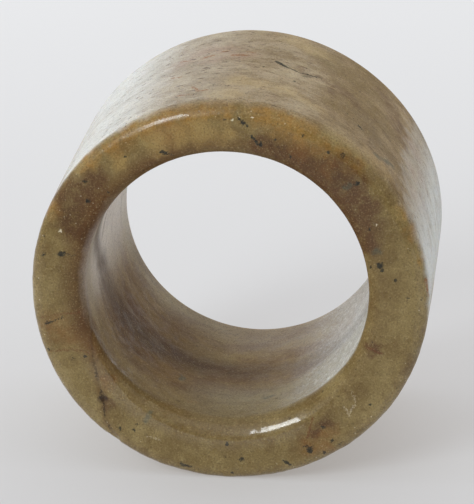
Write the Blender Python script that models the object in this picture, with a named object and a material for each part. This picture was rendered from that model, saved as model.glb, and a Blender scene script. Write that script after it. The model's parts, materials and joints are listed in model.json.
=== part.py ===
"""Archery thumb ring, carved from one piece of jade, lying on its side. Metres, +Z up.

The origin is the middle of the ring. The bore runs along Y, and the end with the wide rounded
mouth, the front, faces -Y. The ring rests on a narrow flat that faces -Z and keeps it from
rolling. Angles are in degrees, counterclockwise from +X towards +Z, as seen from the front.
"""

import math

import bmesh
import bpy
from mathutils import Vector

MM = 0.001

# Driving sizes
OUTER_DIAMETER = 30.0 * MM
BORE_DIAMETER = 21.4 * MM
LENGTH = 21.0 * MM
FLAT_WIDTH = 4.0 * MM

# Radii of the four worn edges
FRONT_RIM_ROUND = 0.75 * MM
FRONT_MOUTH_ROUND = 1.3 * MM
BACK_RIM_ROUND = 0.7 * MM
BACK_MOUTH_ROUND = 0.8 * MM

# Hand work: the wall swells at mid length, the rim is a little out of round, and the bore, drilled
# by hand, sits high. It runs to -X and low at the front, and to +X and higher at the back.
WALL_SWELL = 0.05 * MM
RIM_UNEVENNESS = 0.035 * MM
BORE_LIFT = 0.39 * MM
BORE_DRIFT = 0.23 * MM
BORE_CLIMB = 0.10 * MM

# Chips worn out of the front rim: angle, reach along the rim, depth
RIM_CHIPS = (
    (233.0, 1.4 * MM, 0.11 * MM),
    (302.5, 1.7 * MM, 0.08 * MM),
    (4.0, 1.3 * MM, 0.08 * MM),
)
CHIP_REACH_BACK = 1.3 * MM

# A natural fissure crosses the front face in a straight line, from the outer rim to the bore
FISSURE_RIM_ANGLE = 233.0
FISSURE_BORE_ANGLE = 193.5
FISSURE_WIDTH = 0.3 * MM
FISSURE_DEPTH = 0.22 * MM
CUTTER_OVERRUN = 1.0 * MM

# Facets
SEGMENTS = 144
RIM_STEPS = 5
MOUTH_STEPS = 7
WALL_STEPS = 4

STONE_COLOUR = (0.27, 0.20, 0.075, 1.0)
STONE_ROUGHNESS = 0.32

OUTER_RADIUS = OUTER_DIAMETER / 2
BORE_RADIUS = BORE_DIAMETER / 2
HALF_LENGTH = LENGTH / 2
FLAT_BELOW_AXIS = math.sqrt(OUTER_RADIUS**2 - (FLAT_WIDTH / 2) ** 2)


def clear_scene():
    for obj in list(bpy.data.objects):
        bpy.data.objects.remove(obj)


def arc_steps(count):
    """Quarter-turn angles from 0 to 90 degrees, both ends included."""
    return [math.pi / 2 * i / count for i in range(count + 1)]


def between(start, end, count):
    """Evenly spaced values strictly between start and end."""
    return [start + (end - start) * i / (count + 1) for i in range(1, count + 1)]


def profile():
    """The wall's section as (y, distance from the axis, is it on the outer side), once round."""
    points = []
    for t in arc_steps(RIM_STEPS):
        y = -HALF_LENGTH + FRONT_RIM_ROUND * (1 - math.sin(t))
        points.append((y, OUTER_RADIUS - FRONT_RIM_ROUND * (1 - math.cos(t)), True))
    points.reverse()
    for y in between(-HALF_LENGTH + FRONT_RIM_ROUND, HALF_LENGTH - BACK_RIM_ROUND, WALL_STEPS):
        points.append((y, OUTER_RADIUS, True))
    for t in arc_steps(RIM_STEPS):
        y = HALF_LENGTH - BACK_RIM_ROUND * (1 - math.sin(t))
        points.append((y, OUTER_RADIUS - BACK_RIM_ROUND * (1 - math.cos(t)), True))
    for t in arc_steps(MOUTH_STEPS):
        y = HALF_LENGTH - BACK_MOUTH_ROUND * (1 - math.cos(t))
        points.append((y, BORE_RADIUS + BACK_MOUTH_ROUND * (1 - math.sin(t)), False))
    for y in between(HALF_LENGTH - BACK_MOUTH_ROUND, FRONT_MOUTH_ROUND - HALF_LENGTH, WALL_STEPS):
        points.append((y, BORE_RADIUS, False))
    for t in arc_steps(MOUTH_STEPS):
        y = -HALF_LENGTH + FRONT_MOUTH_ROUND * (1 - math.sin(t))
        points.append((y, BORE_RADIUS + FRONT_MOUTH_ROUND * (1 - math.cos(t)), False))
    return points


def unevenness(angle):
    """How far the hand-cut rim stands off a true circle."""
    return RIM_UNEVENNESS * (math.cos(3 * angle + 0.6) + 0.6 * math.cos(5 * angle - 1.1))


def swell(y):
    return -WALL_SWELL * (y / HALF_LENGTH) ** 2


def chip_depth(angle, y):
    """How deep the chips in the front rim bite at this angle and depth behind the front face."""
    behind = max(0.0, 1 - (y + HALF_LENGTH) / CHIP_REACH_BACK)
    depth = 0.0
    for degrees, reach, bite in RIM_CHIPS:
        turn = math.remainder(angle - math.radians(degrees), math.tau)
        along = abs(turn) * OUTER_RADIUS / (reach / 2)
        if along < 1:
            depth = max(depth, bite * (1 - along**2) * behind)
    return depth


def surface_point(angle, y, radius, outer_side):
    if outer_side:
        reach = radius + unevenness(angle) + swell(y) - chip_depth(angle, y)
        centre = Vector((0, y, 0))
    else:
        reach = radius
        along = y / HALF_LENGTH
        centre = Vector((BORE_DRIFT * along, y, BORE_LIFT + BORE_CLIMB * along))
    return centre + Vector((reach * math.cos(angle), 0, reach * math.sin(angle)))


def turn_ring(bm):
    """Carries the section round the axis, and closes it on itself both ways."""
    rows = []
    for i in range(SEGMENTS):
        angle = math.tau * i / SEGMENTS
        rows.append([bm.verts.new(surface_point(angle, *point)) for point in profile()])
    for i, row in enumerate(rows):
        following = rows[(i + 1) % SEGMENTS]
        for j in range(len(row)):
            k = (j + 1) % len(row)
            bm.faces.new((row[j], following[j], following[k], row[k]))
    bmesh.ops.recalc_face_normals(bm, faces=bm.faces)


def cut_resting_flat(bm):
    """Takes a shallow slice off the underside, and closes the cut with one flat face."""
    everything = bm.verts[:] + bm.edges[:] + bm.faces[:]
    level = (0, 0, -FLAT_BELOW_AXIS)
    cut = bmesh.ops.bisect_plane(
        bm, geom=everything, plane_co=level, plane_no=(0, 0, -1), clear_outer=True
    )
    rim = [e for e in cut["geom_cut"] if isinstance(e, bmesh.types.BMEdge)]
    bmesh.ops.holes_fill(bm, edges=rim, sides=0)
    bmesh.ops.recalc_face_normals(bm, faces=bm.faces)


def stone_material():
    material = bpy.data.materials.new("jade")
    material.use_nodes = True
    shader = material.node_tree.nodes["Principled BSDF"]
    shader.inputs["Base Color"].default_value = STONE_COLOUR
    shader.inputs["Roughness"].default_value = STONE_ROUGHNESS
    shader.inputs["Metallic"].default_value = 0.0
    return material


def add_object(name, bm):
    mesh = bpy.data.meshes.new(name)
    bm.to_mesh(mesh)
    bm.free()
    obj = bpy.data.objects.new(name, mesh)
    bpy.context.scene.collection.objects.link(obj)
    return obj


def add_fissure_cutter():
    """A V-section bar whose sharp edge runs under the front face, along the fissure."""
    front = -HALF_LENGTH
    rim = surface_point(math.radians(FISSURE_RIM_ANGLE), front, OUTER_RADIUS, True)
    bore = surface_point(math.radians(FISSURE_BORE_ANGLE), front, BORE_RADIUS, False)
    along = (bore - rim).normalized()
    across = along.cross(Vector((0, 1, 0)))
    start = rim - along * CUTTER_OVERRUN
    end = bore + along * CUTTER_OVERRUN
    # The V keeps its slope where it runs out in front of the face
    half_width = FISSURE_WIDTH / 2 * (1 + CUTTER_OVERRUN / FISSURE_DEPTH)
    corners = (
        across * half_width + Vector((0, -CUTTER_OVERRUN, 0)),
        across * -half_width + Vector((0, -CUTTER_OVERRUN, 0)),
        Vector((0, FISSURE_DEPTH, 0)),
    )
    bm = bmesh.new()
    near = [bm.verts.new(start + c) for c in corners]
    far = [bm.verts.new(end + c) for c in corners]
    bm.faces.new(near)
    bm.faces.new(far)
    for i in range(3):
        k = (i + 1) % 3
        bm.faces.new((near[i], near[k], far[k], far[i]))
    bmesh.ops.recalc_face_normals(bm, faces=bm.faces)
    cutter = add_object("fissure_cutter", bm)
    cutter.hide_render = True
    cutter.display_type = "WIRE"
    return cutter


def build_ring():
    bm = bmesh.new()
    turn_ring(bm)
    cut_resting_flat(bm)
    ring = add_object("thumb_ring", bm)
    ring.data.materials.append(stone_material())
    ring.data.shade_smooth()
    ring.data.set_sharp_from_angle(angle=math.radians(30))
    fissure = ring.modifiers.new("fissure", "BOOLEAN")
    fissure.operation = "DIFFERENCE"
    fissure.object = add_fissure_cutter()
    return ring


def main():
    clear_scene()
    build_ring()


main()
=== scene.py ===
"""Archery thumb ring of mottled jade, lying on its side on a white table in soft studio light."""

import json
import math

import bpy
import numpy as np
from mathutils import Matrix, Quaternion, Vector, noise

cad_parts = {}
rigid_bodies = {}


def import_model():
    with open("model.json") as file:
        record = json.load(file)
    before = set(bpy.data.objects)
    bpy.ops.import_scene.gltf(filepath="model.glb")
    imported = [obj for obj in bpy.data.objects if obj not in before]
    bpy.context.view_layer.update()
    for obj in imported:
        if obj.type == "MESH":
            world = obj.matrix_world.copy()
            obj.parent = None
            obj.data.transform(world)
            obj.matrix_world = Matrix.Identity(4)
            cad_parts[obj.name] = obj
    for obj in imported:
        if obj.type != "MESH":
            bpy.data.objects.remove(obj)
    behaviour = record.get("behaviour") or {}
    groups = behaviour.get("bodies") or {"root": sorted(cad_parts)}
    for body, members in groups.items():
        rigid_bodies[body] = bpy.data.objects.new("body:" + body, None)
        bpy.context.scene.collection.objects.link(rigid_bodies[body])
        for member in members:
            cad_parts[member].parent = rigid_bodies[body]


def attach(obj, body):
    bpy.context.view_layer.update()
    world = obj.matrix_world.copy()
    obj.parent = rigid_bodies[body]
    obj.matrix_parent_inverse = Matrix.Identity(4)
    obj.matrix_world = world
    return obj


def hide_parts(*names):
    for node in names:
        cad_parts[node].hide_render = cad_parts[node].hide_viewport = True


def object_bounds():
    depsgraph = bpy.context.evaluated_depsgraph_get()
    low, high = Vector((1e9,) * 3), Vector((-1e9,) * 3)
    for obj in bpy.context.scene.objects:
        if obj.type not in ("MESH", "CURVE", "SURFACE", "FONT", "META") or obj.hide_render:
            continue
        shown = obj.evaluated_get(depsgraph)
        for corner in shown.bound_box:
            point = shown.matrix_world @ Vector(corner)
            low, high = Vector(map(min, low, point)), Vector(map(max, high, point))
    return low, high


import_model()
CAD_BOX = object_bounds()

MM = 0.001

# Shape, in millimetres. The origin is the middle of the ring, and the bore runs along Y.
OUTER_RADIUS = 15.0
BORE_RADIUS = 10.7
HALF_LENGTH = 10.5
FRONT = -HALF_LENGTH
FLAT_BELOW_AXIS = 14.866
FRONT_RIM_ROUND = 0.75
FRONT_MOUTH_ROUND = 1.3
BACK_RIM_ROUND = 0.7
BACK_MOUTH_ROUND = 0.8
MOUTH_WIDENING = 0.35
MOUTH_WIDEST_AT = -75
WALL_SWELL = 0.05
RIM_UNEVENNESS = 0.035
BORE_LIFT = 0.39
BORE_DRIFT = 0.23
BORE_CLIMB = 0.1
PAST_CAD_BOX = 0.05

# Height of the bore's middle near the front, and radius of the bright ridge round the front rim
BORE_MIDDLE_IN_FRONT = 0.3
RIDGE_RADIUS = 14.31

# Where the front mouth is tighter and the front rim is worn: degrees, by how much, over how many degrees
MOUTH_TIGHT = ((-152, 0.65, 30), (6, 0.75, 36))
RIM_WORN = ((38, 0.85, 38), (100, 0.6, 28))

# Chips in the front rim: degrees, length along the rim, and depth
RIM_CHIPS = ((233.0, 1.4, 0.11), (302.5, 1.7, 0.08), (4.0, 1.3, 0.08))
CHIP_REACH_BACK = 1.3

# The fissure on the front face, from the bore to the rim, as x and z
FISSURE = ((-10.4, -2.6), (-10.25, -5.6), (-9.9, -7.6), (-9.55, -8.8), (-9.45, -10.2), (-8.6, -12.2))
FISSURE_PIT = (-9.6, -8.7)

# Small relief: depth, and how far it reaches
FISSURE_GROOVE = (0.07, 0.14)
FISSURE_LEDGE = (0.05, 0.8)
PIT_BOWL = (0.12, 0.28)
RIM_PITTING = (0.035, 0.8)
RIM_WAVES = (0.02, 0.8)
LIP_PITTING = (0.012, 1.3)

# Depth of the polish's broad and middling waves, and how far the fissure wanders with the middling ones
POLISH_WAVES = (0.02, 0.007)
FISSURE_WANDER = 0.08

# How far behind the front face its relief begins and is whole
FACE_FADE = (1.6, 0.6)

# Points round the ring, and along each run of its section
SEGMENTS = 520
FRONT_RIM_STEPS = 12
FRONT_FACE_STEPS = 34
FRONT_MOUTH_STEPS = 18
BORE_STEPS = 42
BACK_MOUTH_STEPS = 12
BACK_FACE_STEPS = 14
BACK_RIM_STEPS = 10
WALL_STEPS = 44

# The camera that fits both rims in the photo: degrees, millimetres, and pixels of a picture 504 tall
CAMERA_AZIMUTH = 6.105
CAMERA_ELEVATION = 19.1
CAMERA_DISTANCE = 240.92
SENSOR_WIDTH = 36.0
PICTURE_PIXELS = 504
FOCAL_PIXELS = 3224.0
RING_PIXELS_OFF_CENTRE = (-8.7, 43.47)

TABLE_HALF_WIDTH = 1500


def steps(start, end, count):
    """Even steps from start up to, but not including, end."""
    return start + (end - start) * np.arange(count) / count


def smooth(x, low, high):
    t = np.clip((x - low) / (high - low), 0, 1)
    return t * t * (3 - 2 * t)


def turned(angle, degrees):
    """The angle as seen from a place in degrees, between half a turn back and half a turn on."""
    return np.angle(np.exp(1j * (angle - math.radians(degrees))))


def bell(distance, reach):
    """1 at no distance, and soon nothing beyond reach."""
    return np.exp(-((distance / reach) ** 2))


def mouth_round(angle):
    """The mouth's rounding is wide below, and tight at the lower left and at the right."""
    wide = FRONT_MOUTH_ROUND + MOUTH_WIDENING * np.cos(angle - math.radians(MOUTH_WIDEST_AT))
    for degrees, less, spread in MOUTH_TIGHT:
        wide = wide - less * bell(turned(angle, degrees), math.radians(spread))
    return wide


def rim_round(angle):
    """The front rim is worn wide at the upper right and on top."""
    wear = FRONT_RIM_ROUND
    for degrees, extra, spread in RIM_WORN:
        wear = wear + extra * bell(turned(angle, degrees), math.radians(spread))
    return wear


def quarter(count):
    """Two shares over a quarter turn: one that falls from 1 and eases out, and one that rises from 0."""
    t = steps(0, math.pi / 2, count)
    return 1 - np.sin(t), 1 - np.cos(t)


def ring_section(angle):
    """The section once round at each angle: y and distance from the axis, a row for each angle."""
    mouth, rim = mouth_round(angle)[:, None], rim_round(angle)[:, None]
    back = HALF_LENGTH
    falling, rising = quarter(FRONT_RIM_STEPS)
    parts = [(FRONT + rim * falling, OUTER_RADIUS - rim * rising)]
    parts.append((FRONT, steps(OUTER_RADIUS - rim, BORE_RADIUS + mouth, FRONT_FACE_STEPS)))
    falling, rising = quarter(FRONT_MOUTH_STEPS)
    parts.append((FRONT + mouth * rising, BORE_RADIUS + mouth * falling))
    parts.append((steps(FRONT + mouth, back - BACK_MOUTH_ROUND, BORE_STEPS), BORE_RADIUS))
    falling, rising = quarter(BACK_MOUTH_STEPS)
    parts.append((back - BACK_MOUTH_ROUND * falling, BORE_RADIUS + BACK_MOUTH_ROUND * rising))
    inner, outer = BORE_RADIUS + BACK_MOUTH_ROUND, OUTER_RADIUS - BACK_RIM_ROUND
    parts.append((back, steps(inner, outer, BACK_FACE_STEPS)))
    falling, rising = quarter(BACK_RIM_STEPS)
    parts.append((back - BACK_RIM_ROUND * rising, OUTER_RADIUS - BACK_RIM_ROUND * falling))
    parts.append((steps(back - BACK_RIM_ROUND, FRONT + rim, WALL_STEPS), OUTER_RADIUS))
    parts = [np.broadcast_arrays(y, r, rim)[:2] for y, r in parts]
    return np.concatenate([y for y, r in parts], 1), np.concatenate([r for y, r in parts], 1)


def ring_points():
    """The ring's points in millimetres, as an array of angle, place round the section, and x y z."""
    angle = steps(0, math.tau, SEGMENTS)
    y, r = ring_section(angle)
    a = angle[:, None]
    out = smooth(r, BORE_RADIUS, OUTER_RADIUS)
    uneven = RIM_UNEVENNESS * (np.cos(3 * a + 0.6) + 0.6 * np.cos(5 * a - 1.1))
    swell = -WALL_SWELL * (y / HALF_LENGTH) ** 2
    chips = np.zeros_like(y)
    for degrees, reach, bite in RIM_CHIPS:
        along = np.abs(turned(a, degrees)) * OUTER_RADIUS / (reach / 2)
        behind = np.clip(1 - (y + HALF_LENGTH) / CHIP_REACH_BACK, 0, 1)
        chips = np.maximum(chips, bite * np.clip(1 - along**2, 0, 1) * behind)
    reach = r + out * (uneven + swell - chips)
    along = y / HALF_LENGTH
    x = (1 - out) * BORE_DRIFT * along + reach * np.cos(a)
    z = (1 - out) * (BORE_LIFT + BORE_CLIMB * along) + reach * np.sin(a)
    return np.stack([x, y, z], -1)


def line_distance(x, z, line):
    """Distance from each point to a line of several straight runs, and which side it is on."""
    best = np.full(x.shape, 1e9)
    side = np.zeros(x.shape)
    for (ax, az), (bx, bz) in zip(line, line[1:]):
        ux, uz = bx - ax, bz - az
        share = np.clip(((x - ax) * ux + (z - az) * uz) / (ux * ux + uz * uz), 0, 1)
        dx, dz = x - (ax + share * ux), z - (az + share * uz)
        d = np.hypot(dx, dz)
        nearer = d < best
        best = np.where(nearer, d, best)
        side = np.where(nearer, np.sign(dx * uz - dz * ux), side)
    return best, side


def lumps(points, size, shift=(0, 0, 0)):
    """Smooth noise at each point, with lumps about size millimetres apart."""
    return np.array([noise.noise(Vector(point) / size + Vector(shift)) for point in points])


def relief(points):
    """How far each point moves along its normal: hand polish, rim wear, the fissure and its pit."""
    x, y, z = points[:, 0], points[:, 1], points[:, 2]
    radius = np.hypot(x, z)
    middling = lumps(points, 1.3, (7, 3, 5))
    fine = lumps(points, 0.45, (1, 8, 2))
    height = POLISH_WAVES[0] * lumps(points, 4.0) + POLISH_WAVES[1] * middling
    for depth, reach, edge, waves in (
        (*RIM_PITTING, OUTER_RADIUS, fine),
        (*RIM_WAVES, OUTER_RADIUS, middling),
        (*LIP_PITTING, BORE_RADIUS, fine),
    ):
        height += depth * waves * bell(np.hypot(radius - edge, y - FRONT), reach)

    on_face = smooth(FRONT - y, -FACE_FADE[0], -FACE_FADE[1])
    distance, side = line_distance(x + FISSURE_WANDER * middling, z, FISSURE)
    depth, reach = FISSURE_GROOVE
    height -= on_face * depth * bell(distance, reach)
    depth, reach = FISSURE_LEDGE
    height -= on_face * depth * (side < 0) * np.exp(-distance / reach)
    depth, reach = PIT_BOWL
    height -= on_face * depth * bell(np.hypot(x - FISSURE_PIT[0], z - FISSURE_PIT[1]), reach)
    return height


def build_ring():
    points = ring_points()
    turns, rows = points.shape[:2]
    i, j = np.meshgrid(np.arange(turns), np.arange(rows), indexing="ij")
    k, m = (i + 1) % turns, (j + 1) % rows
    faces = np.stack([i * rows + j, k * rows + j, k * rows + m, i * rows + m], -1).reshape(-1, 4)
    flat_points = points.reshape(-1, 3)
    mesh = bpy.data.meshes.new("jade_ring")
    mesh.from_pydata((flat_points * MM).tolist(), [], faces.tolist())
    mesh.update()
    normals = np.empty(len(flat_points) * 3, np.float32)
    mesh.vertices.foreach_get("normal", normals)
    normals = normals.reshape(-1, 3).astype(float)
    radial = flat_points[:, 0] * normals[:, 0] + flat_points[:, 2] * normals[:, 2]
    outside = np.hypot(flat_points[:, 0], flat_points[:, 2]) > OUTER_RADIUS - 0.1
    if radial[outside].mean() < 0:
        mesh.flip_normals()
        normals = -normals
    moved = flat_points + normals * relief(flat_points)[:, None]
    moved[:, 2] = np.maximum(moved[:, 2], -FLAT_BELOW_AXIS)
    lo, hi = np.array(CAD_BOX[0]) / MM, np.array(CAD_BOX[1]) / MM
    moved = np.clip(moved, lo - PAST_CAD_BOX, hi + PAST_CAD_BOX)
    mesh.vertices.foreach_set("co", (moved * MM).astype(np.float32).ravel())
    mesh.update()
    mesh.shade_smooth()
    ring = bpy.data.objects.new("jade_ring", mesh)
    bpy.context.scene.collection.objects.link(ring)
    return ring


def tone(red, green, blue):
    """A display colour of 0 to 255 as the linear colour that a shader takes."""
    linear = []
    for value in (red, green, blue):
        v = value / 255
        linear.append(v / 12.92 if v <= 0.04045 else ((v + 0.055) / 1.055) ** 2.4)
    return (*linear, 1.0)


class Shading:
    """Short names for shader nodes. Lengths are in millimetres."""

    def __init__(self, owner):
        self.tree = owner.node_tree

    def put(self, socket, value):
        if isinstance(value, bpy.types.NodeSocket):
            self.tree.links.new(value, socket)
        else:
            socket.default_value = value

    def math(self, operation, *values):
        node = self.tree.nodes.new("ShaderNodeMath")
        node.operation = operation
        for socket, value in zip(node.inputs, values):
            self.put(socket, value)
        return node.outputs[0]

    def vector(self, operation, a, b=None, scale=None):
        node = self.tree.nodes.new("ShaderNodeVectorMath")
        node.operation = operation
        self.put(node.inputs[0], a)
        if b is not None:
            self.put(node.inputs[1], b)
        if scale is not None:
            self.put(node.inputs["Scale"], scale)
        return node.outputs["Value" if operation in ("DISTANCE", "LENGTH", "DOT_PRODUCT") else "Vector"]

    def noise(self, at, size, detail=3.0, rough=0.55, colour=False):
        """Noise whose lumps are about size millimetres apart."""
        node = self.tree.nodes.new("ShaderNodeTexNoise")
        self.put(node.inputs["Vector"], at)
        node.inputs["Scale"].default_value = 1 / size
        node.inputs["Detail"].default_value = detail
        node.inputs["Roughness"].default_value = rough
        return node.outputs["Color" if colour else "Fac"]

    def wobble(self, at, size, detail=3.0):
        """Noise as a direction that is nothing on average."""
        return self.vector("SUBTRACT", self.noise(at, size, detail=detail, colour=True), (0.5, 0.5, 0.5))

    def shift(self, at, direction, reach):
        return self.vector("ADD", at, self.vector("SCALE", direction, scale=reach))

    def cells(self, at, size):
        node = self.tree.nodes.new("ShaderNodeTexVoronoi")
        self.put(node.inputs["Vector"], at)
        node.inputs["Scale"].default_value = 1 / size
        return node.outputs["Distance"], node.outputs["Color"]

    def step(self, value, low, high, to_low=0.0, to_high=1.0):
        """Eases from to_low to to_high as value goes from low to high."""
        node = self.tree.nodes.new("ShaderNodeMapRange")
        node.interpolation_type = "SMOOTHSTEP"
        self.put(node.inputs["Value"], value)
        node.inputs["From Min"].default_value = low
        node.inputs["From Max"].default_value = high
        node.inputs["To Min"].default_value = to_low
        node.inputs["To Max"].default_value = to_high
        return node.outputs["Result"]

    def mix(self, share, a, b, blend="MIX"):
        node = self.tree.nodes.new("ShaderNodeMix")
        node.data_type = "RGBA"
        node.blend_type = blend
        self.put(node.inputs[0], share)
        self.put(node.inputs[6], a)
        self.put(node.inputs[7], b)
        return node.outputs[2]

    def chain(self, operation, values):
        result = values[0]
        for value in values[1:]:
            result = self.math(operation, result, value)
        return result

    def times(self, *values):
        return self.chain("MULTIPLY", values)

    def plus(self, *values):
        return self.chain("ADD", values)

    def minus(self, value, less):
        return self.math("SUBTRACT", value, less)

    def rest(self, share):
        """What a share leaves of 1."""
        return self.minus(1.0, share)

    def most(self, *values):
        return self.chain("MAXIMUM", values)

    def least(self, *values):
        return self.chain("MINIMUM", values)

    def line(self, value, wide, narrow, to_low=0.0, to_high=1.0):
        """Eases from to_low to to_high as value comes from wide to narrow on either side of 0."""
        return self.step(self.math("ABSOLUTE", value), wide, narrow, to_low, to_high)

    def nearest(self, at, marks):
        """The least distance to any mark, as a share of that mark's own size. A mark is x, y, z, size."""
        return self.least(*(
            self.math("DIVIDE", self.vector("DISTANCE", at, (x, y, z)), size) for x, y, z, size in marks
        ))

    def strokes(self, at, lines):
        """The least distance to any straight line, as a share of its width. A line is start, end, width."""
        shares = []
        for start, end, width in lines:
            run = Vector(end) - Vector(start)
            reach = run.length
            run = tuple(run / reach)
            from_start = self.vector("SUBTRACT", at, start)
            along = self.least(self.most(self.vector("DOT_PRODUCT", from_start, run), 0.0), reach)
            away = self.vector("DISTANCE", from_start, self.vector("SCALE", run, scale=along))
            shares.append(self.math("DIVIDE", away, width))
        return self.least(*shares)

    def zones(self, at, marks, outer, inner):
        """Soft patches on the marks, which ease in from outer to inner shares of their size."""
        return self.step(self.nearest(at, marks), outer, inner)

    def traces(self, at, lines, outer, inner):
        """Soft lines, which ease in from outer to inner shares of their width."""
        return self.step(self.strokes(at, lines), outer, inner)

    def stack(self, *values):
        node = self.tree.nodes.new("ShaderNodeCombineXYZ")
        for socket, value in zip(node.inputs, values):
            self.put(socket, value)
        return node.outputs[0]

    def parts(self, value):
        node = self.tree.nodes.new("ShaderNodeSeparateXYZ")
        self.put(node.inputs[0], value)
        return node.outputs

    def bits(self, at, size, low, high, picked):
        """Small dots, one in each cell at most, at the share of cells that picked leaves."""
        near, tint = self.cells(at, size)
        keep = self.step(self.parts(tint)[0], picked, picked + 0.04)
        return self.times(self.step(near, low, high), keep)


# Dark inclusions that catch the eye: x, y, z and size
FLECKS = (
    (11.3, FRONT, 2.8, 0.24), (11.5, FRONT, 2.4, 0.13), (12.5, FRONT, 1.6, 0.13), (13.4, FRONT, 0.3, 0.09),
    (14.5, FRONT, 0.1, 0.13), (14.6, FRONT, -1.1, 0.09), (10.6, FRONT, 2.6, 0.1), (7.1, 3.1, 13.2, 0.1),
    (4.1, -2.3, 14.4, 0.1), (1.6, -0.4, 14.9, 0.1), (7.1, FRONT, 13.1, 0.1), (8.3, -3.8, 12.5, 0.1),
    (8.8, -3.9, 12.2, 0.1), (5.5, FRONT, 12.7, 0.1), (9.2, -10.3, 11.9, 0.1), (7.4, FRONT, 11.5, 0.11),
    (8.5, FRONT, 11.3, 0.2), (8.8, FRONT, 11.1, 0.12), (2.4, FRONT, 11.9, 0.16), (3.5, FRONT, 12.3, 0.1),
    (4.6, FRONT, 11.0, 0.1), (9.6, FRONT, 9.1, 0.17), (9.4, FRONT, 9.0, 0.1), (10.5, FRONT, 5.6, 0.1),
    (12.8, FRONT, 6.7, 0.09), (-7.7, FRONT, 10.6, 0.1), (1.1, FRONT, 13.5, 0.2), (0.8, FRONT, 13.7, 0.12),
    (1.4, FRONT, 13.3, 0.12), (0.1, FRONT, 14.7, 0.1), (-9.0, FRONT, 7.8, 0.1), (-10.5, FRONT, 7.1, 0.17),
    (-10.7, FRONT, 8.6, 0.14), (-13.9, FRONT, 2.7, 0.11), (-12.6, FRONT, 2.8, 0.22),
    (-12.4, FRONT, 2.9, 0.13), (-11.0, FRONT, 2.6, 0.1), (-13.7, FRONT, -2.7, 0.13),
    (-13.7, FRONT, -4.9, 0.14), (-11.8, FRONT, -5.5, 0.11), (-10.9, FRONT, -5.3, 0.11),
    (-5.6, FRONT, -9.8, 0.09), (-8.3, FRONT, -11.1, 0.11), (-7.2, FRONT, -11.2, 0.12),
    (-7.0, FRONT, -10.7, 0.08), (-0.1, FRONT, -12.0, 0.15), (1.0, FRONT, -13.2, 0.17),
    (-3.6, FRONT, -13.8, 0.14), (0.3, FRONT, -14.4, 0.13), (6.2, FRONT, -12.2, 0.25),
    (5.9, FRONT, -11.9, 0.12), (7.2, FRONT, -10.3, 0.16), (7.9, FRONT, -11.4, 0.14),
    (7.3, FRONT, -12.4, 0.13), (10.7, FRONT, -8.3, 0.1), (-0.7, -6.1, -10.7, 0.12),
)

# Dark dashes and threads: both ends and the width
DASHES = (
    ((7.9, FRONT, 12.5), (8.3, FRONT, 12.3), 0.1), ((9.2, -4.7, 11.8), (9.5, -4.8, 11.6), 0.13),
    ((2.5, 1.5, 14.8), (3.0, 0.9, 14.7), 0.19), ((3.0, 0.9, 14.7), (4.3, 0.2, 14.4), 0.1),
    ((-5.0, FRONT, 11.1), (-4.6, FRONT, 11.0), 0.12), ((-4.6, FRONT, 11.0), (-3.9, FRONT, 10.7), 0.06),
    ((4.2, FRONT, -13.2), (4.7, FRONT, -13.5), 0.11), ((14.6, -9.9, 3.4), (14.7, -9.8, 2.9), 0.09),
    ((-13.8, FRONT, -2.8), (-13.3, FRONT, -2.6), 0.09), ((-13.1, FRONT, -2.5), (-12.5, FRONT, -2.2), 0.05),
    ((-12.2, FRONT, 2.8), (-11.5, FRONT, 2.7), 0.045), ((-3.6, FRONT, -13.8), (-2.9, FRONT, -14.0), 0.08),
    ((1.7, FRONT, 12.5), (2.3, FRONT, 11.8), 0.09), ((4.3, 0.2, 14.4), (5.5, 0.7, 13.9), 0.09),
)

# Short reddish dashes, most of them on top of the outer wall
RED_DASHES = (
    ((-5.1, 3.2, 14.1), (-4.5, 2.8, 14.3), 0.1), ((-3.2, 2.7, 14.7), (-2.6, 2.8, 14.8), 0.13),
    ((-1.0, 2.4, 15.0), (0.0, 2.3, 15.0), 0.14), ((-2.0, 3.7, 14.9), (-1.6, 3.8, 14.9), 0.1),
    ((-5.3, -1.2, 14.0), (-4.6, -1.8, 14.3), 0.11), ((-3.2, -5.5, 14.7), (-2.6, -6.9, 14.8), 0.09),
    ((-2.6, -6.9, 14.8), (-2.0, -6.9, 14.9), 0.1), ((-4.1, -7.2, 14.4), (-3.3, -7.4, 14.6), 0.1),
    ((-0.1, 3.4, 15.0), (0.5, 3.2, 15.0), 0.09), ((-3.6, 2.3, 14.6), (-3.1, 2.5, 14.7), 0.08),
    ((-3.7, -7.6, -10.05), (-2.3, -6.9, -10.4), 0.14), ((14.7, -9.9, 1.6), (14.8, -9.7, 0.2), 0.12),
)

# Rusty threads on the front face
RUST_THREADS = (
    ((-14.2, FRONT, -2.3), (-12.6, FRONT, -1.9), 0.05), ((-12.6, FRONT, -1.9), (-10.8, FRONT, -1.8), 0.05),
    ((-13.6, FRONT, -5.0), (-11.8, FRONT, -4.8), 0.05), ((-11.8, FRONT, -4.8), (-10.6, FRONT, -5.0), 0.05),
    ((10.3, FRONT, -3.7), (11.6, FRONT, -4.2), 0.06), ((6.4, FRONT, -9.6), (6.0, FRONT, -11.2), 0.07),
)

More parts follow.
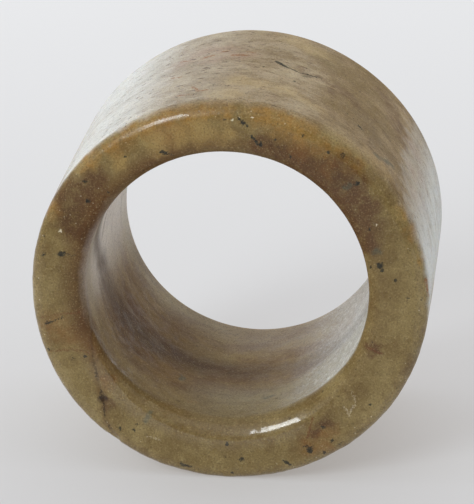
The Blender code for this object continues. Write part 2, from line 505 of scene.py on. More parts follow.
# Colour zones: x, y, z and size
GOLD_ZONES = (
    (-8.3, FRONT, 10.9, 0.8), (-7.2, FRONT, 11.9, 1.0), (-5.6, FRONT, 13.0, 1.2), (-4.4, FRONT, 12.9, 1.4),
    (-3.0, FRONT, 13.5, 1.1), (-1.6, FRONT, 13.9, 0.8), (-0.2, FRONT, 14.0, 0.8), (2.6, FRONT, 13.6, 1.2),
    (4.0, FRONT, 13.0, 1.4), (5.4, FRONT, 12.2, 1.3), (6.6, FRONT, 11.2, 1.0), (7.9, FRONT, 10.6, 1.0),
    (9.0, FRONT, 9.9, 0.8), (13.5, FRONT, 5.2, 0.7), (14.0, FRONT, 3.4, 0.6), (12.9, FRONT, 6.9, 0.7),
    (-12.6, FRONT, 6.2, 0.8), (-10.2, FRONT, 10.0, 0.9),
)
MAUVE_ZONES = (
    (2.6, FRONT, 11.6, 0.9), (3.9, FRONT, 11.3, 1.0), (5.2, FRONT, 10.4, 1.3), (6.4, FRONT, 9.5, 1.6),
    (7.7, FRONT, 8.5, 1.9), (8.9, FRONT, 7.3, 1.9), (9.7, FRONT, 6.0, 1.6), (10.3, FRONT, 4.4, 1.1),
    (-11.4, FRONT, 7.2, 1.6), (-10.4, FRONT, 7.0, 1.7), (-11.3, FRONT, 5.4, 1.6), (-10.4, FRONT, 4.6, 1.2),
    (-10.0, FRONT, 8.3, 1.2), (7.5, FRONT, -9.9, 0.5), (6.9, FRONT, -10.5, 0.5), (8.2, FRONT, 9.7, 1.3),
    (9.4, FRONT, 8.6, 1.2), (10.3, FRONT, 7.3, 1.0), (10.9, FRONT, -3.8, 0.6), (-9.3, FRONT, -9.0, 0.6),
    (-9.5, FRONT, -4.6, 0.5),
)
RUST_ZONES = (
    (-13.4, FRONT, -3.0, 1.2), (-12.2, FRONT, -3.4, 1.4), (-11.0, FRONT, -3.5, 1.4),
    (-10.4, FRONT, -2.0, 1.0), (6.3, FRONT, -11.6, 1.0), (7.2, FRONT, -11.9, 0.9), (7.7, FRONT, -10.8, 0.8),
    (-4.5, FRONT, 12.4, 1.0), (5.4, FRONT, 11.3, 0.8), (7.4, FRONT, 10.1, 0.8), (-9.4, FRONT, -7.2, 0.8),
)
WALL_PINK = (
    (-3.5, 4.5, 14.6, 1.6), (-1.9, 4.2, 14.9, 1.4), (-0.3, 2.4, 15.0, 1.3), (-2.3, 1.5, 14.8, 1.2),
    (-4.8, 2.4, 14.1, 1.2), (13.0, 3.7, 7.4, 1.4), (13.8, 0.7, 5.9, 1.3), (14.2, -3.0, 4.8, 1.2),
    (13.1, -1.2, 7.3, 1.2), (13.7, -4.5, 6.0, 1.3),
)
WALL_PALE = (
    (4.5, 7.4, 14.3, 1.7), (3.2, 8.4, 14.6, 1.5), (0.4, -4.7, 15.0, 1.4), (1.8, -5.2, 14.9, 1.3),
    (3.7, -5.2, 14.5, 1.2), (4.9, -5.9, 14.2, 1.0), (-0.5, -8.0, 15.0, 1.4), (6.0, -6.3, 13.7, 0.8),
    (10.4, -8.6, 10.6, 1.2), (11.4, -8.6, 9.6, 1.1),
)
WALL_BROWN = (
    (6.2, 0.9, 13.7, 1.1), (7.0, 0.8, 13.3, 1.1), (7.9, 0.6, 12.8, 1.0), (8.5, -0.2, 12.3, 0.8),
    (10.7, 7.0, 10.5, 1.2), (11.2, 5.9, 10.0, 1.3), (11.6, 4.2, 9.5, 1.3), (11.9, 2.8, 9.1, 1.0),
    (12.2, 1.6, 8.7, 0.8), (4.4, 1.6, 14.4, 0.7), (6.9, -0.9, 13.3, 0.9), (4.9, 0.6, 14.2, 0.8),
)
WALL_OLIVE = (
    (6.3, 6.5, 13.6, 2.0), (7.8, 5.4, 12.8, 2.4), (9.4, 5.2, 11.7, 2.2), (9.0, -1.5, 12.0, 2.4),
    (7.7, -3.5, 12.9, 1.8), (10.4, 0.5, 10.8, 2.4), (10.0, -4.0, 11.2, 1.8), (8.4, 2.0, 12.4, 2.0),
    (9.4, 8.5, 11.7, 2.0),
)
BLUE_GREY = (
    (11.0, -7.5, 10.2, 0.5), (11.4, -6.5, 9.7, 0.5), (11.8, -6.3, 9.2, 0.4), (4.8, 0.0, 14.2, 0.4),
    (5.2, 0.5, 14.1, 0.4), (5.8, 0.8, 13.9, 0.35), (11.1, FRONT, 3.9, 0.4), (-6.3, FRONT, -10.1, 0.35),
    (8.9, FRONT, 8.6, 0.35), (2.6, -5.6, -10.3, 0.5), (-4.6, -3.6, -9.6, 0.35),
)
# Painted glints: small pale specks, most of them along the top of the front rim
PAINTED_GLINT_SPECKS = (
    (-12.6, FRONT, 4.6, 0.11), (11.0, FRONT, 6.0, 0.1), (-2.2, FRONT, 14.1, 0.1), (-1.7, FRONT, 14.1, 0.11),
    (-1.0, FRONT, 13.9, 0.09), (-0.6, FRONT, 14.1, 0.08), (0.3, FRONT, 13.7, 0.08), (0.9, FRONT, 13.9, 0.08),
    (1.8, FRONT, 13.9, 0.09), (2.3, FRONT, 13.9, 0.07), (-7.8, FRONT, 12.4, 0.13), (-3.0, FRONT, 13.9, 0.08),
)
SCRATCHES = (
    ((9.3, FRONT, -7.3), (9.6, FRONT, -8.1), 0.04), ((9.6, FRONT, -8.3), (9.2, FRONT, -9.1), 0.06),
    ((8.8, FRONT, -8.6), (9.2, FRONT, -9.3), 0.05), ((-6.3, FRONT, -11.6), (-5.2, FRONT, -11.9), 0.04),
)
FACE_LIGHT = (
    (-2.1, FRONT, 12.6, 1.2), (-0.2, FRONT, 12.5, 0.9), (-3.6, FRONT, 12.2, 0.8), (13.1, FRONT, 6.8, 0.7),
    (-5.3, FRONT, 11.7, 0.9), (-7.9, FRONT, 10.2, 0.6),
)
FACE_SHADE = (
    (-13.0, FRONT, -1.3, 1.5), (-11.6, FRONT, -0.6, 1.4), (-11.3, FRONT, -2.6, 1.2), (-12.3, FRONT, 0.9, 1.2),
    (-13.4, FRONT, -4.2, 1.2), (-8.4, FRONT, -10.3, 1.2), (8.0, FRONT, -9.2, 1.3), (9.6, FRONT, -7.6, 1.2),
    (12.5, FRONT, 5.4, 1.5), (12.1, FRONT, 3.4, 1.3), (12.8, FRONT, 1.2, 1.1), (7.0, FRONT, 11.1, 1.1),
    (8.5, FRONT, 10.0, 1.3), (3.7, FRONT, 12.2, 1.0), (-10.8, FRONT, 4.4, 1.1), (-7.3, FRONT, 11.1, 0.9),
    (-11.8, FRONT, 5.6, 1.1),
)


class Stone(Shading):
    """Shading of the jade, with the places, soft edges and noises that several of its layers use."""

    def __init__(self, material):
        super().__init__(material)
        place = self.tree.nodes.new("ShaderNodeTexCoord").outputs["Object"]
        self.at = self.vector("SCALE", place, scale=1 / MM)
        self.x, self.y, self.z = x, y, z = self.parts(self.at)
        self.radius = self.math("SQRT", self.plus(self.times(x, x), self.times(z, z)))
        self.bore_radius = self.vector("LENGTH", self.stack(x, 0.0, self.minus(z, BORE_MIDDLE_IN_FRONT)))
        from_lip = self.stack(self.minus(self.bore_radius, BORE_RADIUS), self.minus(y, FRONT), 0.0)
        self.mouth_edge = self.vector("LENGTH", from_lip)
        self.wall_place = self.unrolled(z, OUTER_RADIUS)
        self.bore_place = self.unrolled(self.times(z, -1.0), BORE_RADIUS)

        # Uneven edges for stains and flecks
        self.drift = self.wobble(self.at, 1.3, detail=4.0)
        self.jitter = self.wobble(self.at, 0.17)
        self.shaken = self.shift(self.at, self.drift, 2.4)
        self.crumbled = self.shift(self.at, self.jitter, 0.56)
        self.sway = self.minus(self.noise(self.at, 1.1), 0.5)

        # Where on the ring: the outer wall, the bore, and what the photo doesn't show of the wall
        wall_edge = self.step(self.plus(y, self.sway), -10.25, -9.25)
        self.outer_wall = self.times(self.step(self.radius, 14.05, 14.8), wall_edge)
        self.bore_wall = self.step(self.plus(self.bore_radius, self.times(self.sway, 0.5)), 11.5, 10.8)
        self.hidden = self.most(self.step(z, 1.0, -3.0), self.step(x, -12.0, -14.0))

        # Unevenness of the stone, from coarse to fine
        self.cloud = self.noise(self.at, 5.5, detail=4.0)
        self.patches = self.noise(self.shaken, 2.4, detail=6.0, rough=0.62)
        self.soft = self.step(self.noise(self.at, 0.6, detail=5.0, rough=0.65), 0.3, 0.66, 0.35, 1.0)
        self.grain = self.noise(self.at, 0.14, rough=0.75)

        # Streaks, fibres and pits, drawn out round the ring
        drawn = self.shift(self.vector("MULTIPLY", self.wall_place, (0.6, 1.0, 0.6)), self.drift, 1.6)
        self.streaks = self.noise(drawn, 1.7, detail=6.0, rough=0.66)
        torn = self.shift(self.wall_place, self.jitter, 0.5)
        self.fibres = self.noise(self.vector("MULTIPLY", torn, (0.5, 2.0, 1.0)), 0.6, detail=4.0, rough=0.65)
        self.pit_dots = self.bits(self.vector("MULTIPLY", torn, (0.55, 1.7, 1.0)), 0.7, 0.26, 0.12, 0.5)

        # Stains and flecks that other marks or the polish follow
        stains = self.zones(self.shaken, MAUVE_ZONES, 1.7, 0.4)
        stains = self.times(stains, self.step(self.soft, 0.3, 0.9, 0.6, 1.0))
        loose = self.step(self.noise(self.shaken, 3.6, detail=4.0), 0.58, 0.75)
        self.mauve = self.most(stains, self.times(loose, 0.4, self.soft))
        self.flecks = self.most(
            self.zones(self.crumbled, FLECKS, 1.4, 0.7), self.traces(self.crumbled, DASHES, 1.5, 0.7)
        )

    def unrolled(self, height, radius):
        """The place as if the wall lay flat: round the ring, along it, and away from its axis."""
        around = self.times(self.math("ARCTAN2", self.x, height), radius)
        return self.stack(around, self.y, self.radius)


def ground_layers(s):
    """The stone's own olive, cloudy and patchy."""
    small = s.noise(s.shaken, 0.75, detail=4.0, rough=0.6)
    colour = s.mix(s.step(s.cloud, 0.36, 0.64), tone(125, 105, 62), tone(140, 121, 77))
    colour = s.mix(s.step(s.patches, 0.5, 0.72, 0.0, 0.36), colour, tone(164, 147, 103))
    colour = s.mix(s.step(s.patches, 0.5, 0.3, 0.0, 0.5), colour, tone(100, 75, 38))
    colour = s.mix(s.step(small, 0.5, 0.32, 0.0, 0.28), colour, tone(92, 68, 35))
    return s.mix(s.step(small, 0.52, 0.7, 0.0, 0.2), colour, tone(180, 163, 112))


def face_layers(s, colour):
    """Gold, mauve and rust zones of the front face, a brown fringe along its mouth that is partly painted
    shade, and its darker and lighter parts.
    """
    on_front = s.vector("ADD", s.vector("MULTIPLY", s.shaken, (0.97, 0.0, 0.97)), (0.0, FRONT, 0.0))
    gold = s.times(s.zones(on_front, GOLD_ZONES, 1.5, 0.3), s.soft, s.step(s.y, -8.8, -9.7))
    colour = s.mix(s.times(gold, 0.7), colour, tone(160, 117, 52))
    colour = s.mix(s.times(s.mauve, 0.9), colour, tone(88, 58, 34))
    rust = s.times(s.zones(s.shaken, RUST_ZONES, 1.4, 0.3), s.soft)
    colour = s.mix(s.times(rust, 0.62), colour, tone(126, 84, 38))
    # A brown fringe along the mouth's edge: partly the stone's own patches, partly painted shade of the
    # rounded edge
    mouth_fringe_stain_and_shade = s.times(s.step(s.mouth_edge, 2.6, 0.4), s.step(s.patches, 0.35, 0.6, 0.65, 0.9))
    mouth_fringe_stain_and_shade = s.times(mouth_fringe_stain_and_shade, s.step(s.z, -8.5, -3.0, 0.35, 1.0), s.step(s.x, -5.0, 9.0, 1.0, 0.25))
    colour = s.mix(mouth_fringe_stain_and_shade, colour, tone(92, 58, 22))
    shade = s.zones(s.shaken, FACE_SHADE, 1.6, 0.2)
    colour = s.mix(s.times(shade, 0.75), colour, (0.74, 0.68, 0.58, 1.0), "MULTIPLY")
    light = s.zones(s.shaken, FACE_LIGHT, 1.6, 0.2)
    return s.mix(s.times(light, 0.5), colour, tone(176, 146, 86))


def back_layers(s, colour):
    """Brown and gold stains of the back end face."""
    back = s.times(s.step(s.y, 8.5, 9.6), s.step(s.bore_radius, 10.9, 11.5))
    brown = s.times(back, s.step(s.noise(s.shaken, 4.2, detail=5.0), 0.5, 0.66), 0.8)
    colour = s.mix(brown, colour, tone(104, 72, 40))
    gold = s.times(back, s.step(s.noise(s.shaken, 3.1, detail=4.0), 0.48, 0.34), 0.6)
    return s.mix(gold, colour, tone(156, 116, 56))


def wall_glare_and_pale(s):
    """Painted glare on each side of the wall, partly the wall's own paleness: even on the parts in view, and
    in patches on the hidden parts.
    """
    ahead = s.most(s.minus(-1.0, s.y), 0.0)
    sill = s.plus(s.minus(s.x, s.times(ahead, 0.06)), s.times(s.sway, 2.0))
    right = s.plus(s.step(sill, 11.9, 13.0, 0.0, 0.29), s.step(s.x, 13.1, 15.0, 0.0, 0.66))
    left = s.plus(s.step(s.x, 1.5, -4.0, 0.0, 0.15), s.step(s.x, -4.0, -9.8, 0.0, 0.67))
    glare_and_pale = s.times(s.most(right, left), s.step(s.streaks, 0.3, 0.55, 0.72, 1.0))
    upper = s.step(s.z, -12.5, -1.0, 0.25, 1.0)
    broken = s.step(s.noise(s.shaken, 4.5, detail=4.0), 0.38, 0.62, 0.2, 0.7)
    return s.plus(s.times(glare_and_pale, s.rest(s.hidden)), s.times(glare_and_pale, s.hidden, upper, broken))


def wall_layers(s):
    """Greyer, paler skin of the outer wall, with painted glare on its sides."""
    colour = s.mix(s.step(s.streaks, 0.32, 0.7), tone(130, 110, 80), tone(168, 150, 123))
    colour = s.mix(s.step(s.cloud, 0.5, 0.7, 0.0, 0.6), colour, tone(188, 172, 140))
    for marks, outer, inner, share, shade in (
        (WALL_OLIVE, 1.6, 0.3, 0.7, tone(124, 104, 66)),
        (WALL_PINK, 1.5, 0.2, 0.45, tone(150, 112, 90)),
        (WALL_PALE, 1.5, 0.2, 0.45, tone(192, 168, 122)),
    ):
        colour = s.mix(s.times(s.zones(s.shaken, marks, outer, inner), share), colour, shade)
    brown = s.times(s.zones(s.shaken, WALL_BROWN, 1.5, 0.2), s.soft, 0.75)
    colour = s.mix(brown, colour, tone(100, 72, 50))
    right = s.times(s.step(s.x, 4.5, 8.5), s.step(s.z, -3.0, 3.0, 0.3, 1.0))
    colour = s.mix(right, colour, (0.88, 0.81, 0.66, 1.0), "MULTIPLY")
    near_right = s.times(s.step(s.x, 7.0, 10.5), s.step(s.x, 13.4, 11.4), s.step(s.y, 3.0, -4.0))
    colour = s.mix(near_right, colour, (0.8, 0.78, 0.78, 1.0), "MULTIPLY")
    # Painted glare of the bright backdrop on the wall's sides, partly the wall's own pale colour
    colour = s.mix(wall_glare_and_pale(s), colour, tone(206, 210, 209))
    below = s.times(s.step(s.z, -5.0, -13.0), s.step(s.cloud, 0.35, 0.65, 0.4, 1.0), 0.4)
    return s.mix(below, colour, tone(138, 120, 84))


def bore_layers(s):
    """Brown grey stone of the bore, with painted light on its upper left and a painted sheen at its right,
    speckled with painted glints.
    """
    drawn = s.shift(s.vector("MULTIPLY", s.bore_place, (0.5, 1.0, 0.6)), s.drift, 1.4)
    streaks = s.noise(drawn, 2.2, detail=6.0, rough=0.6)
    colour = s.mix(s.step(streaks, 0.32, 0.68), tone(112, 82, 50), tone(144, 120, 78))
    colour = s.mix(s.step(s.cloud, 0.5, 0.7, 0.0, 0.4), colour, tone(150, 132, 88))
    # Painted light: the upper left of the bore painted near white
    painted_light_left = s.times(s.step(s.z, -4.4, 2.0), s.step(s.x, -6.0, -10.0), s.step(s.z, 7.0, 4.0, 0.35, 0.95))
    colour = s.mix(painted_light_left, colour, tone(248, 241, 233))
    # Painted sheen: reflection of the bright backdrop on the bore's right side
    painted_sheen_right = s.times(s.step(s.x, 3.0, 9.6), s.step(s.streaks, 0.3, 0.6, 0.72, 1.0))
    painted_sheen_right = s.times(painted_sheen_right, s.step(s.y, -2.0, 4.0, 1.0, 0.8), s.step(s.z, 1.5, -1.5, 0.4, 1.0))
    colour = s.mix(s.times(painted_sheen_right, 0.92), colour, tone(216, 217, 215))
    far_left = s.times(s.step(s.y, 5.0, 9.0), s.step(s.x, 0.0, -3.0), 0.32)
    colour = s.mix(far_left, colour, tone(180, 176, 158))
    sunk = s.times(s.step(s.x, -1.5, -6.0), s.step(s.z, -1.5, -5.5), s.step(s.y, 8.0, 3.0))
    colour = s.mix(s.times(sunk, 0.8), colour, (0.71, 0.56, 0.26, 1.0), "MULTIPLY")
    far_right = s.times(s.step(s.y, 2.5, 6.5), s.step(s.x, -4.0, 0.0), 0.4)
    colour = s.mix(far_right, colour, tone(160, 151, 138))
    near_foot = s.times(s.step(s.y, -1.5, -5.0), s.step(s.x, -5.0, -1.0), 0.4)
    colour = s.mix(near_foot, colour, tone(162, 158, 134))
    # Dark and bright specks in the painted sheen; the bright ones are painted glints
    sheen_speck_noise = s.noise(s.vector("MULTIPLY", s.crumbled, (1.0, 0.5, 1.0)), 0.28, detail=4.0, rough=0.75)
    painted_sheen_area = s.most(painted_sheen_right, s.times(painted_light_left, 0.4))
    colour = s.mix(s.times(painted_sheen_area, s.step(sheen_speck_noise, 0.5, 0.34), 0.6), colour, tone(146, 132, 116))
    return s.mix(s.times(painted_sheen_area, s.step(sheen_speck_noise, 0.5, 0.66), 0.65), colour, tone(244, 245, 245))


def bore_share(s):
    """Where the bore's own colour shows: it fades in at the left, and has a crisp edge at the right."""
    right_side = s.step(s.x, 1.0, 5.0)
    soft_edge = s.times(s.step(s.y, -9.0, -4.0, 0.3, 1.0), s.rest(right_side))
    lip_height = s.minus(s.y, s.step(s.z, -4.0, -8.5))
    crisp_edge = s.times(s.step(lip_height, -9.9, -9.3), s.step(s.bore_radius, 11.15, 10.95), right_side)
    return s.times(s.bore_wall, s.plus(soft_edge, crisp_edge))


def bore_bands(s, colour):
    """Mauve brown bands that run round the bore, and a painted shade line behind its lip."""
    wander = s.times(s.minus(s.noise(s.at, 2.2), 0.5), 1.8)
    sag = s.minus(s.times(s.x, s.x, 0.022), 0.25)
    course = s.plus(s.y, wander, sag, s.most(s.plus(s.z, 1.0), 0.0))
    main_band = s.times(s.line(course, 3.1, 0.1), s.step(s.x, 8.0, -4.0, 0.42, 0.95))
    main_band = s.times(main_band, s.step(s.patches, 0.3, 0.55, 0.6, 1.0))
    near_course = s.plus(s.y, s.times(wander, 0.4), 4.4)
    near_band = s.times(s.line(near_course, 0.7, 0.1), s.step(s.x, -4.5, -8.0, 0.0, 0.45))
    near_band = s.times(near_band, s.step(s.z, 1.5, -2.5))
    warped = s.shift(s.vector("MULTIPLY", s.bore_place, (0.12, 1.0, 0.2)), s.drift, 0.9)
    thin_lines = s.step(s.noise(warped, 1.3, detail=4.0, rough=0.6), 0.52, 0.64)
    thin_lines = s.times(thin_lines, s.step(s.x, 0.0, -10.0, 0.1, 0.5), s.step(s.y, 5.0, -3.0, 0.4, 1.0))
    bands = s.times(s.most(main_band, near_band, thin_lines), s.bore_wall, s.step(s.y, -9.5, -7.0))
    colour = s.mix(s.times(bands, 0.8), colour, tone(72, 45, 18))
    # Painted shade: a dark line along the rounded lip at the lower left
    lip_course = s.plus(s.y, s.step(s.x, -7.0, -1.0, 9.8, 7.2))
    painted_lip_shade = s.times(s.line(lip_course, 0.9, 0.1), s.step(s.x, -4.5, -6.8), s.step(s.z, 0.0, -3.0))
    return s.mix(s.times(painted_lip_shade, s.bore_wall, 0.4), colour, tone(84, 66, 32))


def wall_marks(s, colour):
    """Short brown fibres, open pits and reddish dashes round the outer wall."""
    dark_fibres = s.times(s.outer_wall, s.step(s.fibres, 0.54, 0.7), 0.55)
    colour = s.mix(dark_fibres, colour, tone(104, 78, 54))
    light_fibres = s.times(s.outer_wall, s.step(s.fibres, 0.44, 0.28), 0.25)
    colour = s.mix(light_fibres, colour, tone(206, 188, 146))
    pits = s.times(s.pit_dots, s.outer_wall, s.step(s.x, 9.0, -3.0, 0.45, 1.0))
    pits = s.times(pits, s.step(s.hidden, 0.0, 1.0, 1.0, 0.5))
    colour = s.mix(s.times(pits, 0.85), colour, tone(78, 54, 36))
    faded = s.step(s.noise(s.at, 0.3), 0.38, 0.54, 0.25, 1.0)
    red = s.times(s.traces(s.crumbled, RED_DASHES, 2.0, 0.6), faded)
    return s.mix(s.times(red, 0.85), colour, tone(136, 84, 38))


def small_marks(s, colour):
    """Rusty threads, grain, specks, dark flecks, pale scratches and painted glints."""
    threads = s.traces(s.crumbled, RUST_THREADS, 2.2, 0.5)
    colour = s.mix(s.times(threads, 0.6), colour, tone(104, 58, 28))
    colour = s.mix(s.step(s.grain, 0.5, 0.3, 0.0, 0.55), colour, tone(64, 48, 26))
    colour = s.mix(s.step(s.grain, 0.53, 0.75, 0.0, 0.36), colour, tone(206, 188, 142))
    specks = s.bits(s.crumbled, 1.25, 0.1, 0.04, 0.55)
    colour = s.mix(s.times(specks, 0.75), colour, tone(50, 42, 30))
    fleck_tone = s.mix(s.step(s.noise(s.at, 0.25), 0.4, 0.6), tone(22, 24, 20), tone(58, 54, 40))
    colour = s.mix(s.times(s.flecks, 0.92), colour, fleck_tone)
    # Painted glints on the rim and in the mauve stains, with pale scratches
    dots = s.zones(s.crumbled, PAINTED_GLINT_SPECKS, 1.4, 0.8)
    scratches = s.times(s.traces(s.crumbled, SCRATCHES, 1.8, 0.5), 0.45)
    worn_rim = s.step(s.radius, 13.4, 14.3)
    mauve_left = s.times(s.mauve, s.step(s.x, 2.0, -5.0, 0.15, 0.7))
    face = s.step(s.y, FRONT + 0.7, FRONT + 0.15)
    painted_glints = s.times(s.bits(s.at, 0.42, 0.16, 0.06, 0.72), face, s.most(worn_rim, mauve_left))
    pale = s.most(dots, scratches, s.times(painted_glints, 0.7))
    return s.mix(s.times(pale, 0.8), colour, tone(222, 210, 182))


def fissure_layers(s, colour):
    """The dark crack, the brown stain along it, and the pit."""
    runs = [((ax, FRONT, az), (bx, FRONT, bz), 0.08) for (ax, az), (bx, bz) in zip(FISSURE, FISSURE[1:])]
    away = s.strokes(s.crumbled, runs)
    crack = s.times(s.step(away, 1.6, 0.4), s.step(s.z, -4.0, -9.0, 0.45, 1.0))
    crack = s.times(crack, s.step(s.noise(s.at, 0.5), 0.35, 0.6, 0.4, 1.0))
    colour = s.mix(s.step(away, 7.0, 0.5, 0.0, 0.3), colour, tone(100, 68, 38))
    colour = s.mix(s.times(crack, 0.95), colour, tone(42, 28, 16))
    from_pit = s.vector("DISTANCE", s.crumbled, (FISSURE_PIT[0], FRONT, FISSURE_PIT[1]))
    return s.mix(s.step(from_pit, 0.5, 0.12, 0.0, 0.9), colour, tone(44, 30, 22))


def stone_colour(s):
    colour = back_layers(s, face_layers(s, ground_layers(s)))
    colour = s.mix(s.times(s.outer_wall, 0.95), colour, wall_layers(s))
    colour = bore_bands(s, s.mix(bore_share(s), colour, bore_layers(s)))
    blue_grey = s.times(s.zones(s.shaken, BLUE_GREY, 1.4, 0.3), 0.7)
    colour = s.mix(blue_grey, colour, tone(84, 86, 70))
    return fissure_layers(s, small_marks(s, wall_marks(s, colour)))


def roughness(s):
    """Satin on the face, dull in the bore and on the outer wall."""
    satin = s.step(s.noise(s.at, 0.9, detail=4.0), 0.3, 0.7, 0.26, 0.4)
    on_wall = s.times(s.outer_wall, s.step(s.x, -7.0, 3.0, 0.3, 0.55))
    return s.plus(satin, s.times(s.bore_wall, 0.42), on_wall, s.times(s.flecks, 0.2))


def coat_weight(s):
    """Polish of the front face, bright on the worn lip and on the thin ridge round the rim."""
    rim = s.times(s.step(s.radius, 14.0, 14.4), s.step(s.y, -10.3, -10.0))
    on_face = s.times(s.rest(s.bore_wall), s.rest(s.most(s.outer_wall, rim)))
    lower = s.step(s.z, 5.0, 2.0)
    not_left = s.most(s.step(s.x, -7.0, -5.0, 0.1, 1.0), lower)
    scuffs = s.step(s.noise(s.at, 0.32), 0.36, 0.52, 0.6, 1.0)
    ridge = s.line(s.minus(s.radius, RIDGE_RADIUS), 0.13, 0.07, 0.25, 1.0)
    ridge = s.most(ridge, s.step(s.radius, 14.0, 13.8), lower)
    lip = s.times(s.step(s.mouth_edge, 2.4, 1.4, 0.0, 0.95), s.step(s.z, -4.0, -7.5), s.step(s.x, 6.2, 5.5))
    lip = s.plus(lip, s.step(s.radius, 13.9, 14.3, 0.0, 0.45))
    strength = s.plus(s.step(s.patches, 0.3, 0.5, 0.14, 0.28), lip)
    return s.times(on_face, not_left, scuffs, ridge, strength)


def fine_relief(s):
    """Grain, fibres and open pits, which only turn the surface's direction."""
    on_wall = s.step(s.radius, 14.3, 14.9)
    dents = s.times(s.noise(s.at, 0.45), s.step(s.bore_radius, 11.5, 10.8, 0.025, 0.05))
    height = s.plus(s.times(s.grain, 0.016), dents, s.times(on_wall, s.fibres, 0.06))
    height = s.minus(height, s.times(s.pit_dots, on_wall, 0.06))
    bump = s.tree.nodes.new("ShaderNodeBump")
    s.put(bump.inputs["Height"], height)
    bump.inputs["Strength"].default_value = 0.7
    bump.inputs["Distance"].default_value = MM
    return bump.outputs[0]


def jade_material():
    material = bpy.data.materials.new("jade_mottled")
    material.use_nodes = True
    shader = material.node_tree.nodes["Principled BSDF"]
    s = Stone(material)
    s.put(shader.inputs["Base Color"], stone_colour(s))
    s.put(shader.inputs["Roughness"], roughness(s))
    s.put(shader.inputs["Coat Weight"], coat_weight(s))
    s.put(shader.inputs["Normal"], fine_relief(s))
    shader.inputs["Coat Roughness"].default_value = 0.07
    shader.inputs["Coat IOR"].default_value = 1.5
    shader.inputs["IOR"].default_value = 1.61
    shader.inputs["Specular IOR Level"].default_value = 0.19
    shader.inputs["Metallic"].default_value = 0.0
    shader.inputs["Sheen Weight"].default_value = 0.03
    shader.inputs["Sheen Roughness"].default_value = 0.35
    shader.inputs["Subsurface Weight"].default_value = 0.25
    shader.inputs["Subsurface Radius"].default_value = (1.0, 0.62, 0.3)
    shader.inputs["Subsurface Scale"].default_value = 1.4 * MM
    return material


def table_material():
    """White acrylic that glows faintly by itself, painted light that lightens the ring's shadow, and is
    painted a little greyer in front than behind as light falling off.
    """
    material = bpy.data.materials.new("white_table")
    material.use_nodes = True
    nodes = material.node_tree.nodes
    shader = nodes["Principled BSDF"]
    s = Shading(material)
    place = nodes.new("ShaderNodeTexCoord").outputs["Object"]
    back = s.parts(s.vector("SCALE", place, scale=1 / MM))[1]
    # Painted light: greyer in front than behind, as light falling off
    table_colour_painted_falloff = s.mix(s.step(back, -90.0, 190.0), tone(150, 152, 156), tone(190, 193, 197))
    s.put(shader.inputs["Base Color"], table_colour_painted_falloff)
    # Painted light: the table glows by itself, which lightens the ring's shadow
    shader.inputs["Emission Color"].default_value = (1.0, 0.945, 0.9, 1.0)
    shader.inputs["Emission Strength"].default_value = 0.305
    material.cycles.emission_sampling = "NONE"
    shader.inputs["Roughness"].default_value = 0.8
    shader.inputs["Specular IOR Level"].default_value = 0.1
    return material


def build_floor():
    mesh = bpy.data.meshes.new("table")
    half, z = TABLE_HALF_WIDTH * MM, -FLAT_BELOW_AXIS * MM
    corners = [(-half, -half, z), (half, -half, z), (half, half, z), (-half, half, z)]
    mesh.from_pydata(corners, [], [(0, 1, 2, 3)])
    floor = bpy.data.objects.new("table", mesh)
    floor.data.materials.append(table_material())
    bpy.context.scene.collection.objects.link(floor)


def build_camera():
    """Looks a little from the right and from above, along the bore."""
    azimuth, elevation = math.radians(CAMERA_AZIMUTH), math.radians(CAMERA_ELEVATION)
    ahead = Vector((
        -math.sin(azimuth) * math.cos(elevation),
        math.cos(azimuth) * math.cos(elevation),
        -math.sin(elevation),
    ))
    right = Vector((math.cos(azimuth), math.sin(azimuth), 0))
    up = right.cross(ahead)
    across, below = (pixels * CAMERA_DISTANCE / FOCAL_PIXELS for pixels in RING_PIXELS_OFF_CENTRE)
    offset = right * across - up * below
    place = Vector((0, FRONT, 0)) - offset - ahead * CAMERA_DISTANCE
    data = bpy.data.cameras.new("camera")
    data.sensor_width = SENSOR_WIDTH
    data.lens = FOCAL_PIXELS / PICTURE_PIXELS * SENSOR_WIDTH
    data.clip_start = 0.01
    data.clip_end = 10.0
    camera = bpy.data.objects.new("camera", data)
    camera.location = place * MM
    camera.rotation_mode = "QUATERNION"
    camera.rotation_quaternion = ahead.to_track_quat("-Z", "Y")
    bpy.context.scene.collection.objects.link(camera)
    bpy.context.scene.camera = camera


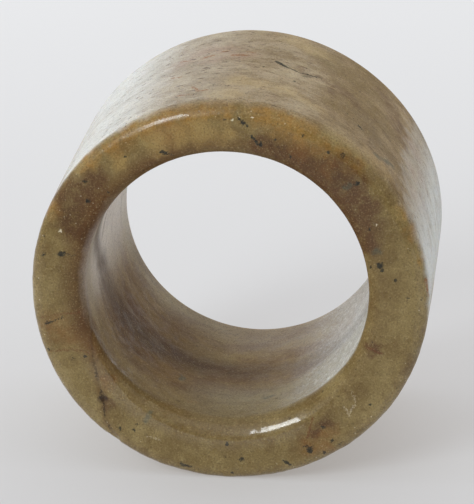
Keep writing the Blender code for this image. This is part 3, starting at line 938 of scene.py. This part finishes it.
def add_panel(name, place, aim, size, power, colour=(1.0, 1.0, 1.0), roll=0.0, glint=True):
    """A soft box: place, aim and size in millimetres, roll in degrees about its own beam."""
    data = bpy.data.lights.new(name, "AREA")
    data.shape = "RECTANGLE"
    data.size, data.size_y = size[0] * MM, size[1] * MM
    data.energy = power
    data.color = colour
    light = bpy.data.objects.new(name, data)
    light.location = Vector(place) * MM
    light.rotation_mode = "QUATERNION"
    turn = Quaternion((0, 0, 1), math.radians(roll))
    light.rotation_quaternion = (Vector(aim) - Vector(place)).to_track_quat("-Z", "Y") @ turn
    light.visible_glossy = glint
    bpy.context.scene.collection.objects.link(light)


def build_world():
    """A white sweep glows behind and above, and the side that the camera stands on is dimmer."""
    world = bpy.data.worlds.new("studio")
    world.use_nodes = True
    nodes = world.node_tree.nodes
    background = nodes["Background"]
    s = Shading(world)
    direction = nodes.new("ShaderNodeTexCoord").outputs["Generated"]
    lean = s.vector("DOT_PRODUCT", direction, (-0.1, 0.75, 0.65))
    s.put(background.inputs["Strength"], s.step(lean, -0.7, 0.9, 0.12, 0.93))
    background.inputs["Color"].default_value = (0.97, 0.985, 1.0, 1.0)
    bpy.context.scene.world = world


def build_lights():
    """A key light from the upper left, a weak fill from each side, and two lights from behind."""
    add_panel(
        "key_left", (-180, -312, 218), (0, 0, 0), size=(134, 172), power=0.8,
        colour=(0.96, 1.0, 1.0), roll=31.7,
    )
    add_panel("left_low", (-420, -120, 110), (0, 0, -8), size=(260, 200), power=0.25, glint=False)
    add_panel("right_low", (380, -150, 120), (0, 0, -8), size=(260, 200), power=0.27, glint=False)
    add_panel("back_left", (-190, 430, 50), (0, 0, 10), size=(260, 130), power=0.46)
    add_panel("back_right", (240, 420, 60), (0, 0, 5), size=(240, 130), power=0.38)


def main():
    for scene_object in list(bpy.context.scene.objects):
        if scene_object.type in ("LIGHT", "CAMERA") or scene_object.name == "Cube":
            bpy.data.objects.remove(scene_object)
    bpy.context.scene.view_settings.view_transform = "Standard"
    ring = build_ring()
    ring.data.materials.append(jade_material())
    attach(ring, "root")
    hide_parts("thumb_ring")
    build_floor()
    build_camera()
    build_world()
    build_lights()


main()
